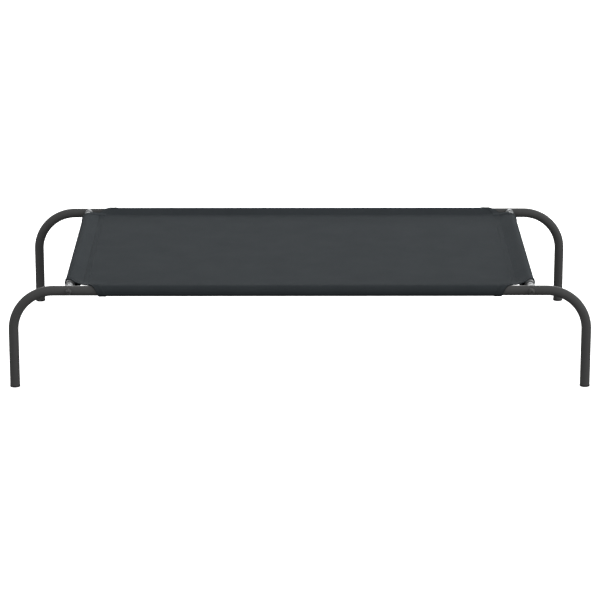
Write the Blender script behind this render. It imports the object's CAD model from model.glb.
"""Looks of the raised dog bed: its sewn sling, stitching, paint, zinc, plastic, floor, light and camera.

Metres, +Z up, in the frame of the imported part. The sling is one sheet. Its panel runs from seam to seam, and
from each of its four sides a flap goes over a tube, round it, and back to be sewn flat under the panel.
"""

import math

import bmesh
import bpy
import numpy as np
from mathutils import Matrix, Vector, noise


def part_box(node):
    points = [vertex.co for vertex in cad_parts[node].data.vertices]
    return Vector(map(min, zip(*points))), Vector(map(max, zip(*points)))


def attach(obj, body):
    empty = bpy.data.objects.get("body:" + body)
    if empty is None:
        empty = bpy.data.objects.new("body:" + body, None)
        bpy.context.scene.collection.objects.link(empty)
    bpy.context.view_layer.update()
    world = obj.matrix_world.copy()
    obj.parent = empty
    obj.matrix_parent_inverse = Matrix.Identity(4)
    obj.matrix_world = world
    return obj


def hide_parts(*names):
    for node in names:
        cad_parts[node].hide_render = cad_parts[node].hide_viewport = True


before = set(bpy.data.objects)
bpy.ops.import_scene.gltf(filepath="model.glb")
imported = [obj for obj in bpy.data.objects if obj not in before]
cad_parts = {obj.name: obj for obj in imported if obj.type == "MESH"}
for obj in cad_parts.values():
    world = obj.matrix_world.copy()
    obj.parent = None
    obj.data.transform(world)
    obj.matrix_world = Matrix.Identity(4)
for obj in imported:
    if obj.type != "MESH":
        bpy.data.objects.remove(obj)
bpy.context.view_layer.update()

# ---------------------------------------------------------------- places, all read from the frame
BAR_LOW, BAR_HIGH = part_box("end_bar_right")
RAIL_LOW, RAIL_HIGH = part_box("rail_front_right")
SLING_LOW, SLING_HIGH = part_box("sling")
BAR_X = (BAR_LOW.x + BAR_HIGH.x) / 2
RAIL_Y = -(RAIL_LOW.y + RAIL_HIGH.y) / 2
RAIL_Z = (BAR_LOW.z + BAR_HIGH.z) / 2

# ---------------------------------------------------------------- the sling's sizes
CLOTH = 0.0010  # one layer
HEM = 0.0018  # two layers, sewn
HEM_WIDTH = 0.0135
SLEEVE_R = (SLING_HIGH.z - SLING_LOW.z) / 2 - CLOTH  # inside of a sleeve
SEAM = 0.023  # seam line, in from the tube's centreline
BAND = 0.0125  # how far the flap runs on under the panel
BAND_GAP = 0.00015
BAND_EXTRA = 0.0009  # the band's cut edge is turned in, which makes the band this much thicker than one layer
PANEL_RISE = 0.0010  # underside of the panel over the tubes' centrelines
SAG = 0.0020  # in the middle of the panel
LIFT = 0.0030  # how far the taut free edge draws up each corner of the panel
LIFT_REACH = 0.024
TIP_LIFT = 0.0009  # and the very tip of the corner
TIP_REACH = 0.005
PANEL = (BAR_X - SEAM, RAIL_Y - SEAM)  # half the panel, along x and y
TUBE_AT = (BAR_X, RAIL_Y)

# A flap's two ends are scooped out. Each point is a distance from the seam and how far the end has drawn in
# there. The deepest is under the tube's outer side, so that the sleeve's mouth slants away from the corner.
SCOOP = (
    (0.0, 0.0),
    (0.010, 0.0042),
    (0.0185, 0.0092),
    (0.0242, 0.0178),
    (0.0325, 0.0255),
    (0.041, 0.0312),
    (0.0525, 0.0342),
    (0.068, 0.0262),
    (0.0935, 0.0200),
)

# The flap's mesh begins to draw in at the first of these distances from the seam's ends, and does so fully
# at the second.
DRAWN_FROM = 0.25
DRAWN_FULLY = 0.03

STITCH_ROWS = (0.0022, 0.0102)  # distances of the two rows beside each seam, inside it
MOUTH_ROW = 0.0110  # and of the row round each mouth, inside its edge
STITCH_PITCH = 0.0040
STITCH_LENGTH = 0.0033
THREAD_R = 0.00026


# ---------------------------------------------------------------- the shape of the cloth
def smooth(low, high, value):
    t = min(max((value - low) / (high - low), 0.0), 1.0)
    return t * t * (3 - 2 * t)


def flap_path():
    """Inner side of a flap, from seam round tube to under the panel, as rows of (distance s, in, up)."""
    seam = Vector((SEAM, PANEL_RISE))
    dip = math.acos(SLEEVE_R / seam.length)
    turn = dip + math.atan2(seam.y, seam.x)
    corners = [seam]
    slope_end = Vector((math.cos(turn), math.sin(turn))) * SLEEVE_R
    corners += [corners[0].lerp(slope_end, t) for t in (0.07, 0.15, 0.27, 0.42, 0.6, 0.8)]
    steps = 36
    leave = 2 * math.pi - math.acos(SLEEVE_R / SEAM)
    for i in range(steps + 1):
        angle = turn + (leave - turn) * i / steps
        corners.append(Vector((math.cos(angle), math.sin(angle))) * SLEEVE_R)
    lower = corners[-1]
    band_start = Vector((SEAM + 0.0006, PANEL_RISE - BAND_GAP))
    corners += [lower.lerp(band_start, t) for t in (0.2, 0.4, 0.6, 0.78, 0.9, 1.0)]
    corners += [band_start + Vector((BAND * t, 0.0)) for t in (0.12, 0.35, 0.6, 0.85, 0.95, 1.0)]
    rows = [(0.0, corners[0].x, corners[0].y)]
    for here, there in zip(corners, corners[1:]):
        rows.append((rows[-1][0] + (there - here).length, there.x, there.y))
    return np.array(rows)


PATH = flap_path()
FLAP = PATH[-1, 0]  # length of a flap along the cloth
BAND_STARTS = FLAP - BAND
SLOPE = math.sqrt(SEAM**2 + PANEL_RISE**2 - SLEEVE_R**2)  # from the seam up to the tube


def notch(s):
    """How far a flap's end has drawn in, at distance s from its seam: a curve through SCOOP's points."""
    i = 0
    while i < len(SCOOP) - 2 and s > SCOOP[i + 1][0]:
        i += 1
    before, here, there = SCOOP[max(i - 1, 0)], SCOOP[i], SCOOP[i + 1]
    after = SCOOP[min(i + 2, len(SCOOP) - 1)]
    run = there[0] - here[0]
    t = min((s - here[0]) / run, 1.0)
    slope_here = (there[1] - before[1]) / (there[0] - before[0]) * run
    slope_there = (after[1] - here[1]) / (after[0] - here[0]) * run
    rise = there[1] - here[1]
    return here[1] + t * slope_here + t * t * (3 * rise - 2 * slope_here - slope_there) + t**3 * (
        slope_here + slope_there - 2 * rise
    )


def drape(x, y):
    """Height of the panel over its flat shape: it hangs a little, creeps, and puckers beside its seams."""
    across = [min(abs(value) / half, 1.0) for value, half in zip((x, y), PANEL)]
    inside = [half - min(abs(value), half) for value, half in zip((x, y), PANEL)]
    height = -SAG * (1 - across[0] ** 2) * (1 - across[1] ** 2)
    still = min(min(inside) / 0.03, 1.0)
    height += 0.00045 * still * noise.noise(Vector((x * 7.0, y * 9.0, 1.7)))
    height += 0.00012 * still * noise.noise(Vector((x * 45.0, y * 38.0, 5.1)))
    for axis in (0, 1):
        along = (y, x)[axis]
        pucker = noise.noise(Vector((along * 62.0, 3.3 + axis * 9.0, math.copysign(4.0, (x, y)[axis]))))
        rise = math.exp(-inside[axis] / 0.014) * (1 - math.exp(-inside[axis] / 0.002))
        height += 0.00034 * pucker * rise
    # pulls that fan out from each corner
    reach = math.hypot(*inside)
    angle = math.atan2(inside[1], inside[0])
    fan = math.sin(angle * 17.0 + (1.3 if x > 0 else 0.2) + (0.9 if y > 0 else 0.0))
    height += 0.00030 * fan * math.exp(-reach / 0.07) * smooth(0.0, 0.03, reach) * math.sin(2 * angle)
    return height


def bulge(s, along, end, axis, sign):
    """How far a flap stands off its tube, at distance s from the seam and along from the middle."""
    on_tube = smooth(0.0, 0.012, s) * smooth(0.0, 0.012, BAND_STARTS - s)
    creep = 0.5 + 0.5 * noise.noise(Vector((along * 55.0, s * 30.0, axis * 5.0 + sign)))
    pucker = 0.5 + 0.5 * noise.noise(Vector((along * 130.0, s * 45.0, 20.0 + axis * 5.0 + sign)))
    near_mouth = math.exp(-max(end - abs(along), 0.0) / 0.010)
    return on_tube * (0.00020 * creep + 0.00010 * pucker + 0.00012 * near_mouth)


def corner_lift(in_x, in_y, s=0.0):
    """How far the cloth is drawn up, at those distances in from a panel corner and s out from its seam."""
    tip = TIP_LIFT * math.exp(-math.hypot(in_x, in_y, s) / TIP_REACH)
    return LIFT * math.exp(-(in_x**2 + in_y**2) / LIFT_REACH**2) * max(1 - s / SLOPE, 0.0) + tip


def panel_point(p, q):
    lift = corner_lift(PANEL[0] - abs(p), PANEL[1] - abs(q))
    return Vector((p, q, RAIL_Z + PANEL_RISE + drape(p, q) + lift))


def flap_point(axis, sign, t, s):
    """Point of a flap, at t along its seam and s from it. Axis 0 flaps go round the end bars."""
    half = PANEL[1 - axis]
    drawn = math.copysign(notch(s), t) * smooth(half - DRAWN_FROM, half - DRAWN_FULLY, abs(t))
    along = t - drawn
    inward = float(np.interp(s, PATH[:, 0], PATH[:, 1]))
    up = float(np.interp(s, PATH[:, 0], PATH[:, 2]))
    off = bulge(s, along, half - notch(s), axis, sign)
    reach = math.hypot(inward, up)
    if reach > 0:
        inward += off * inward / reach
        up += off * up / reach
    up += corner_lift(half - abs(t), 0.0, s)
    place = [0.0, 0.0, RAIL_Z + up]
    place[axis] = sign * (TUBE_AT[axis] - inward)
    place[1 - axis] = along
    if s > BAND_STARTS - 0.012:
        under = drape(place[0], place[1]) + corner_lift(PANEL[0] - abs(place[0]), PANEL[1] - abs(place[1]))
        place[2] += under * smooth(BAND_STARTS - 0.012, BAND_STARTS, s)
    return Vector(place)


def spread(half):
    """Places of the mesh's lines along one side of the panel: close together over the hems, even between."""
    on_hem = (0.0, 0.0012, 0.0026, 0.0046, 0.0072, 0.0098, 0.0122, 0.0131)
    past_hem = (HEM_WIDTH + 0.0005, 0.0158, 0.0188, 0.0228, 0.028, 0.034)
    near = on_hem + past_hem
    even_step = 0.0065
    count = round(2 * (half - near[-1]) / even_step)
    middle = np.linspace(-half + near[-1], half - near[-1], count + 1)
    return [-half + d for d in near[:-1]] + list(middle) + [half - d for d in reversed(near[:-1])]


def cloth_thickness(hemmed, s):
    if hemmed:
        return HEM
    return CLOTH + (BAND_EXTRA if s > BAND_STARTS + 0.0012 else 0.0)


def sling_sheet():
    """The cloth's inner side as one sheet of quads: places, flat coordinates, thickness and faces."""
    lines = (spread(PANEL[0]), spread(PANEL[1]))
    places, flat, thick, faces = [], [], [], []

    def put(place, coordinates, thickness):
        places.append(place)
        flat.append(coordinates)
        thick.append(thickness)
        return len(places) - 1

    def is_hem(value, half):
        return half - abs(value) < HEM_WIDTH

    grid = [
        [
            put(panel_point(p, q), (p, q), HEM if is_hem(p, PANEL[0]) and is_hem(q, PANEL[1]) else CLOTH)
            for q in lines[1]
        ]
        for p in lines[0]
    ]
    for i in range(len(lines[0]) - 1):
        for j in range(len(lines[1]) - 1):
            faces.append((grid[i][j], grid[i + 1][j], grid[i + 1][j + 1], grid[i][j + 1]))
    for axis in (0, 1):
        for sign in (-1, 1):
            side = lines[1 - axis]
            half = PANEL[1 - axis]
            last = -1 if sign > 0 else 0
            row = grid[last] if axis == 0 else [column[last] for column in grid]
            for s in PATH[1:, 0]:
                new = []
                for t in side:
                    place = flap_point(axis, sign, t, s)
                    coordinates = [0.0, 0.0]
                    coordinates[axis] = sign * (PANEL[axis] + s)
                    coordinates[1 - axis] = place[1 - axis]
                    new.append(put(place, tuple(coordinates), cloth_thickness(is_hem(t, half), s)))
                for k in range(len(side) - 1):
                    face = (row[k], new[k], new[k + 1], row[k + 1])
                    faces.append(face if (axis == 0) == (sign > 0) else face[::-1])
                row = new
    return places, flat, thick, faces


def solid_cloth(name, places, flat, thick, faces):
    """A closed mesh from the sheet: its inner side, its outer side, and a rounded fold round its edge."""
    sheet = bmesh.new()
    inner = [sheet.verts.new(place) for place in places]
    for face in faces:
        sheet.faces.new([inner[i] for i in face])
    sheet.normal_update()
    rim = [edge for edge in sheet.edges if edge.is_boundary]
    normals = [vertex.normal.copy() for vertex in inner]
    outer = [sheet.verts.new(vertex.co + normal * t) for vertex, normal, t in zip(inner, normals, thick)]
    sheet.verts.index_update()
    outwards = {}
    for edge in rim:
        a, b = edge.link_loops[0].vert, edge.link_loops[0].link_loop_next.vert
        for vertex in (a, b):
            out = (b.co - a.co).normalized().cross(normals[vertex.index])
            outwards[vertex.index] = outwards.get(vertex.index, Vector()) + out
    fold = {}
    for i, out in outwards.items():
        fold[i] = sheet.verts.new((inner[i].co + outer[i].co) / 2 + out.normalized() * thick[i] * 0.42)
    for face in faces:
        sheet.faces.new([outer[i] for i in face])
    for edge in rim:
        a, b = edge.link_loops[0].vert.index, edge.link_loops[0].link_loop_next.vert.index
        sheet.faces.new((inner[b], inner[a], fold[a], fold[b]))
        sheet.faces.new((fold[b], fold[a], outer[a], outer[b]))
    for face in list(sheet.faces)[: len(faces)]:
        face.normal_flip()
    sheet.verts.index_update()
    uv = sheet.loops.layers.uv.new("cloth")
    place_of = list(flat) + list(flat) + [flat[i] for i in fold]
    for face in sheet.faces:
        face.smooth = True
        for loop in face.loops:
            loop[uv].uv = place_of[loop.vert.index]
    mesh = bpy.data.meshes.new(name)
    sheet.to_mesh(mesh)
    sheet.free()
    piece = bpy.data.objects.new(name, mesh)
    bpy.context.scene.collection.objects.link(piece)
    return piece


def add_stitch(verts, faces, middle, along, normal):
    """One stitch: a thread that comes up out of the cloth, runs along it and goes back in."""
    across = normal.cross(along).normalized()
    rings = ((-0.5, -0.7), (-0.34, 0.35), (0.0, 0.75), (0.34, 0.35), (0.5, -0.7))
    sides = 5
    first = len(verts)
    for run, lift in rings:
        centre = middle + along * (run * STITCH_LENGTH) + normal * (lift * THREAD_R)
        for k in range(sides):
            angle = 2 * math.pi * k / sides
            verts.append(centre + (across * math.cos(angle) + normal * math.sin(angle)) * THREAD_R)
    for r in range(len(rings) - 1):
        for k in range(sides):
            a = first + r * sides + k
            b = first + r * sides + (k + 1) % sides
            faces.append((a, b, b + sides, a + sides))
    faces.append(tuple(first + k for k in reversed(range(sides))))
    last = first + (len(rings) - 1) * sides
    faces.append(tuple(last + k for k in range(sides)))


def row_of_stitches(verts, faces, line, lift):
    """Stitches along a line of points on the cloth, each given as (place, outward normal), lift out of it."""
    run = [0.0]
    for (here, _), (there, _) in zip(line, line[1:]):
        run.append(run[-1] + (there - here).length)
    count = int(run[-1] / STITCH_PITCH)
    start = (run[-1] - count * STITCH_PITCH) / 2
    places = np.array([place for place, _ in line])
    normals = np.array([normal for _, normal in line])

    def at(distance):
        place = Vector([float(np.interp(distance, run, places[:, k])) for k in range(3)])
        normal = Vector([float(np.interp(distance, run, normals[:, k])) for k in range(3)]).normalized()
        return place, normal

    for i in range(count):
        middle = start + (i + 0.5) * STITCH_PITCH
        place, normal = at(middle)
        along = (at(middle + STITCH_LENGTH / 2)[0] - at(middle - STITCH_LENGTH / 2)[0]).normalized()
        add_stitch(verts, faces, place + normal * lift, along, normal)


def panel_line(axis, sign, inside):
    """Line on the panel beside one seam, inside it, as (place, upward normal)."""
    half = PANEL[1 - axis] - inside
    line = []
    for t in np.linspace(-half, half, 160):
        place = [0.0, 0.0]
        place[axis] = sign * (PANEL[axis] - inside)
        place[1 - axis] = float(t)
        line.append((panel_point(*place), Vector((0, 0, 1))))
    return line


def band_line(axis, sign, inside):
    """The same seam's thread under the band, as (place on the band's upper side, downward normal)."""
    half = PANEL[1 - axis] - notch(FLAP) - 0.004
    line = []
    for t in np.linspace(-half, half, 160):
        place = [0.0, 0.0]
        place[axis] = sign * (PANEL[axis] - inside)
        place[1 - axis] = float(t)
        line.append((panel_point(*place) - Vector((0, 0, BAND_GAP)), Vector((0, 0, -1))))
    return line


def hem_line(axis, sign, end, inside):
    """Line round a sleeve's mouth, inside its hemmed edge, as (place, outward normal)."""
    half = PANEL[1 - axis]
    t = end * (half - inside)
    line = []
    for s in np.linspace(0.002, BAND_STARTS - 0.002, 90):
        here = flap_point(axis, sign, t, float(s))
        ahead = flap_point(axis, sign, t, float(s) + 0.0005) - flap_point(axis, sign, t, float(s) - 0.0005)
        sideways = Vector((0, 0, 0))
        sideways[1 - axis] = 1.0
        normal = ahead.cross(sideways).normalized()
        centre = Vector((0, 0, RAIL_Z))
        centre[axis] = sign * TUBE_AT[axis]
        centre[1 - axis] = here[1 - axis]
        if normal.dot(here - centre) < 0:
            normal.negate()
        line.append((here, normal))
    return line


def make_stitching():
    """The sling's thread as one piece: rows beside each seam, above and below, and round each mouth."""
    verts, faces = [], []
    for axis in (0, 1):
        for sign in (-1, 1):
            for inside in STITCH_ROWS:
                row_of_stitches(verts, faces, panel_line(axis, sign, inside), CLOTH)
                row_of_stitches(verts, faces, band_line(axis, sign, inside), CLOTH + BAND_EXTRA)
            for end in (-1, 1):
                row_of_stitches(verts, faces, hem_line(axis, sign, end, MOUTH_ROW), HEM)
    mesh = bpy.data.meshes.new("sling_stitching")
    mesh.from_pydata(verts, [], faces)
    mesh.shade_smooth()
    piece = bpy.data.objects.new("sling_stitching", mesh)
    bpy.context.scene.collection.objects.link(piece)
    return piece


# ---------------------------------------------------------------- materials
def new_material(name, **values):
    """A material, its node tree and its shader, with constant values set on the shader's own sockets."""
    material = bpy.data.materials.new(name)
    material.use_nodes = True
    tree = material.node_tree
    shader = tree.nodes["Principled BSDF"]
    for socket, value in values.items():
        shader.inputs[socket.replace("_", " ")].default_value = value
    return material, tree, shader


def add_node(tree, kind, settings=None, **inputs):
    """A node of that kind. inputs are its sockets, each a value or another node's output to link.

    A socket goes by its name, with _ for a space, or by i and its number.
    """
    node = tree.nodes.new("ShaderNode" + kind)
    for attribute, value in (settings or {}).items():
        setattr(node, attribute, value)
    for name, value in inputs.items():
        by_number = name[0] == "i" and name[1:].isdigit()
        socket = node.inputs[int(name[1:]) if by_number else name.replace("_", " ")]
        if isinstance(value, bpy.types.NodeSocket):
            tree.links.new(value, socket)
        else:
            socket.default_value = value
    return node


def maths(tree, operation, a, b=0.0, clamp=False):
    return add_node(tree, "Math", {"operation": operation, "use_clamp": clamp}, i0=a, i1=b).outputs[0]


def object_noise(tree, scale, detail=2.0, roughness=0.5, stretch=(1, 1, 1)):
    """Noise over the object's own coordinates, from 0 to 1."""
    place = add_node(tree, "TexCoord").outputs["Object"]
    mapped = add_node(tree, "Mapping", Vector=place, Scale=stretch).outputs[0]
    waves = add_node(tree, "TexNoise", Vector=mapped, Scale=scale, Detail=detail, Roughness=roughness)
    return waves.outputs[0]


def ramp(tree, value, low, high, out_low=0.0, out_high=1.0):
    return add_node(
        tree, "MapRange", Value=value, From_Min=low, From_Max=high, To_Min=out_low, To_Max=out_high
    ).outputs[0]


def tint(tree, amount, dark, light):
    """Colour between dark and light."""
    node = add_node(tree, "Mix", {"data_type": "RGBA"})
    tree.links.new(amount, node.inputs[0])
    node.inputs[6].default_value = (*dark, 1)
    node.inputs[7].default_value = (*light, 1)
    return node.outputs[2]


def finish_shader(tree, shader, colour, roughness, height, distance, strength=1.0):
    tree.links.new(colour, shader.inputs["Base Color"])
    tree.links.new(roughness, shader.inputs["Roughness"])
    bump = add_node(tree, "Bump", Height=height, Distance=distance, Strength=strength)
    tree.links.new(bump.outputs[0], shader.inputs["Normal"])


def fabric_material():
    """Coated plain-weave polyester. Warp and weft go over and under each other along the sheet."""
    material, tree, shader = new_material("anthracite_weave", IOR=1.45, Specular_IOR_Level=0.018)
    cloth = add_node(tree, "UVMap", {"uv_map": "cloth"}).outputs[0]
    parts = add_node(tree, "SeparateXYZ", Vector=cloth)
    pitch = 0.0011
    waves = [maths(tree, "SINE", maths(tree, "MULTIPLY", parts.outputs[k], math.pi / pitch)) for k in (0, 1)]
    tops = [maths(tree, "POWER", maths(tree, "ABSOLUTE", wave), 0.6) for wave in waves]
    over = maths(tree, "GREATER_THAN", maths(tree, "MULTIPLY", waves[0], waves[1]), 0.0)
    dips = [maths(tree, "MULTIPLY_ADD", top, 0.35) for top in tops]
    for dip in dips:
        dip.node.inputs[2].default_value = 0.65
    warp = maths(tree, "MULTIPLY", tops[0], dips[1])
    weft = maths(tree, "MULTIPLY", tops[1], dips[0])
    weave = add_node(tree, "Mix", i0=over, i2=weft, i3=warp).outputs[0]
    threads = []
    for scale in ((900.0, 26.0, 1.0), (26.0, 900.0, 1.0)):
        mapped = add_node(tree, "Mapping", Vector=cloth, Scale=scale).outputs[0]
        threads.append(add_node(tree, "TexNoise", Vector=mapped, Scale=1.0, Detail=1.0).outputs[0])
    thread = add_node(tree, "Mix", i0=over, i2=threads[1], i3=threads[0]).outputs[0]
    mottle = object_noise(tree, 16.0, 4.0, 0.55)
    shade = maths(tree, "ADD", maths(tree, "MULTIPLY", weave, 0.28), maths(tree, "MULTIPLY", thread, 0.42))
    shade = maths(tree, "ADD", shade, maths(tree, "MULTIPLY", mottle, 0.34), clamp=True)
    colour = tint(tree, shade, (0.0205, 0.0236, 0.0259), (0.0434, 0.0501, 0.0549))
    roughness = ramp(tree, thread, 0.3, 0.7, 0.78, 0.94)
    finish_shader(tree, shader, colour, roughness, weave, 0.00016, 0.55)
    return material


def thread_material():
    """Twisted polyester sewing thread."""
    material, tree, shader = new_material("sewing_thread", IOR=1.45, Specular_IOR_Level=0.02)
    fibres = object_noise(tree, 2600.0, 2.0)
    colour = tint(tree, fibres, (0.020, 0.0230, 0.0250), (0.050, 0.0570, 0.0620))
    finish_shader(tree, shader, colour, ramp(tree, fibres, 0.3, 0.7, 0.5, 0.75), fibres, 0.00006, 0.6)
    return material


def paint_material():
    """Powder coat: a fine orange peel, and a faint drift in shade and gloss."""
    material, tree, shader = new_material("powder_coat", Specular_IOR_Level=0.03)
    peel = object_noise(tree, 950.0, 2.0, 0.55)
    drift = object_noise(tree, 9.0, 3.0)
    specks = ramp(tree, object_noise(tree, 420.0, 4.0, 0.7), 0.66, 0.74)
    speckled = maths(tree, "MULTIPLY", specks, 0.35)
    shade = maths(tree, "ADD", maths(tree, "MULTIPLY", drift, 0.7), speckled, clamp=True)
    colour = tint(tree, shade, (0.066, 0.0662, 0.0661), (0.092, 0.0923, 0.0921))
    finish_shader(tree, shader, colour, ramp(tree, drift, 0.3, 0.7, 0.40, 0.52), peel, 0.00007, 0.35)
    return material


def zinc_material():
    """Bright zinc plate over turned steel: rings of the lathe, a clouded plate and a few dull spots."""
    material, tree, shader = new_material("zinc_plate", Metallic=0.6)
    clouds = object_noise(tree, 420.0, 5.0, 0.6)
    rings = object_noise(tree, 1.0, 2.0, 0.5, stretch=(40, 2600, 40))
    spots = ramp(tree, object_noise(tree, 700.0, 3.0, 0.6), 0.62, 0.72)
    dulled = maths(tree, "MULTIPLY", spots, 0.4)
    shade = maths(tree, "SUBTRACT", ramp(tree, clouds, 0.3, 0.7), dulled, clamp=True)
    colour = tint(tree, shade, (0.180, 0.185, 0.188), (0.240, 0.246, 0.251))
    finish_shader(tree, shader, colour, ramp(tree, clouds, 0.3, 0.7, 0.60, 0.48), rings, 0.00004, 0.7)
    return material


def black_steel_material():
    """Blackened steel, rubbed a little brighter in patches."""
    material, tree, shader = new_material("blackened_steel", Metallic=0.3)
    grain = object_noise(tree, 1500.0, 3.0)
    rubbed = ramp(tree, object_noise(tree, 240.0, 4.0, 0.65), 0.52, 0.72)
    colour = tint(tree, rubbed, (0.062, 0.0625, 0.062), (0.105, 0.1055, 0.105))
    finish_shader(tree, shader, colour, ramp(tree, rubbed, 0.0, 1.0, 0.42, 0.30), grain, 0.00004, 0.4)
    return material


def cap_material():
    """Moulded plastic with a fine spark-eroded grain, scuffed where it meets the floor."""
    material, tree, shader = new_material("moulded_plastic", Specular_IOR_Level=0.4)
    grain = object_noise(tree, 1800.0, 2.0)
    scuff = ramp(tree, object_noise(tree, 320.0, 4.0, 0.7), 0.5, 0.7)
    colour = tint(tree, scuff, (0.012, 0.012, 0.012), (0.030, 0.030, 0.029))
    finish_shader(tree, shader, colour, ramp(tree, scuff, 0.0, 1.0, 0.52, 0.72), grain, 0.00006, 0.5)
    return material


def floor_material():
    """Plain pale studio floor."""
    material, tree, shader = new_material("studio_floor", Specular_IOR_Level=0.2)
    cloud = object_noise(tree, 0.8, 2.0)
    colour = tint(tree, cloud, (0.90, 0.90, 0.90), (0.93, 0.93, 0.93))
    finish_shader(tree, shader, colour, ramp(tree, cloud, 0.0, 1.0, 0.7, 0.8), cloud, 0.0001, 0.1)
    shader.inputs["Emission Color"].default_value = (1, 1, 1, 1)
    shader.inputs["Emission Strength"].default_value = 0.85
    return material


def dress_nodes():
    """Gives each kept CAD node its material."""
    looks = {
        "rail": paint_material(),
        "end_bar": paint_material(),
        "connector": zinc_material(),
        "bolt": black_steel_material(),
        "saddle_washer": black_steel_material(),
        "foot_cap": cap_material(),
    }
    for name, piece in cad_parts.items():
        for kind, material in looks.items():
            if name.startswith(kind + "_"):
                piece.data.materials.clear()
                piece.data.materials.append(material)


# ---------------------------------------------------------------- studio
def make_floor():
    """A wide floor that only the camera sees. It throws no light on the bed, so the undersides stay dark."""
    mesh = bpy.data.meshes.new("floor")
    half = 40.0
    corners = [(-half, -half, 0), (half, -half, 0), (half, half, 0), (-half, half, 0)]
    mesh.from_pydata(corners, [], [(0, 1, 2, 3)])
    floor = bpy.data.objects.new("floor", mesh)
    floor.data.materials.append(floor_material())
    floor.visible_diffuse = False
    floor.visible_glossy = False
    floor.visible_shadow = False
    bpy.context.scene.collection.objects.link(floor)


def add_light(name, place, target, width, depth, power):
    """Soft rectangular light at place, aimed at target."""
    light = bpy.data.lights.new(name, "AREA")
    light.shape = "RECTANGLE"
    light.size = width
    light.size_y = depth
    light.energy = power
    lamp = bpy.data.objects.new(name, light)
    lamp.location = place
    lamp.visible_camera = False
    lamp.rotation_euler = (Vector(target) - Vector(place)).to_track_quat("-Z", "Y").to_euler()
    bpy.context.scene.collection.objects.link(lamp)


def light_studio():
    """A pale dome, dim below the horizon, and soft lights behind, on the right, and faintly in front."""
    world = bpy.data.worlds.new("studio")
    world.use_nodes = True
    tree = world.node_tree
    direction = add_node(tree, "TexCoord").outputs["Generated"]
    height = add_node(tree, "SeparateXYZ", Vector=direction).outputs[2]
    glow = ramp(tree, height, -0.06, -0.02, 0.12, 0.80)
    background = tree.nodes["Background"]
    background.inputs["Color"].default_value = (1, 1, 1, 1)
    tree.links.new(glow, background.inputs["Strength"])
    bpy.context.scene.world = world
    aim = (0, 0, 0.15)
    add_light("back", (1.05, 6.5, 2.5), aim, 8.0, 3.6, 435.0)
    add_light("right", (9.3, -2.5, 2.85), aim, 6.0, 4.0, 344.0)
    add_light("front", (-1.5, -6.5, 0.9), aim, 6.0, 1.4, 32.0)
    bpy.context.scene.view_settings.view_transform = "Standard"


def place_camera():
    """Looks down on the bed from in front and far off, at its middle."""
    elevation = math.radians(16.428)
    azimuth = math.radians(-0.160)
    distance = 5.742
    target = Vector((0.0008, 0.0, 0.0860))
    level = math.cos(elevation)
    back = Vector((math.sin(azimuth) * level, -math.cos(azimuth) * level, math.sin(elevation)))
    data = bpy.data.cameras.new("camera")
    data.sensor_width = 36.0
    data.lens = 171.82
    data.clip_end = 100.0
    camera = bpy.data.objects.new("camera", data)
    camera.location = target + back * distance
    camera.rotation_euler = (-back).to_track_quat("-Z", "Y").to_euler()
    bpy.context.scene.collection.objects.link(camera)
    bpy.context.scene.camera = camera


# ---------------------------------------------------------------- put it together
sling = solid_cloth("sling_cloth", *sling_sheet())
sling.data.materials.append(fabric_material())
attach(sling, "root")
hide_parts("sling")

stitching = make_stitching()
stitching.data.materials.append(thread_material())
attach(stitching, "root")

dress_nodes()
make_floor()
light_studio()
place_camera()
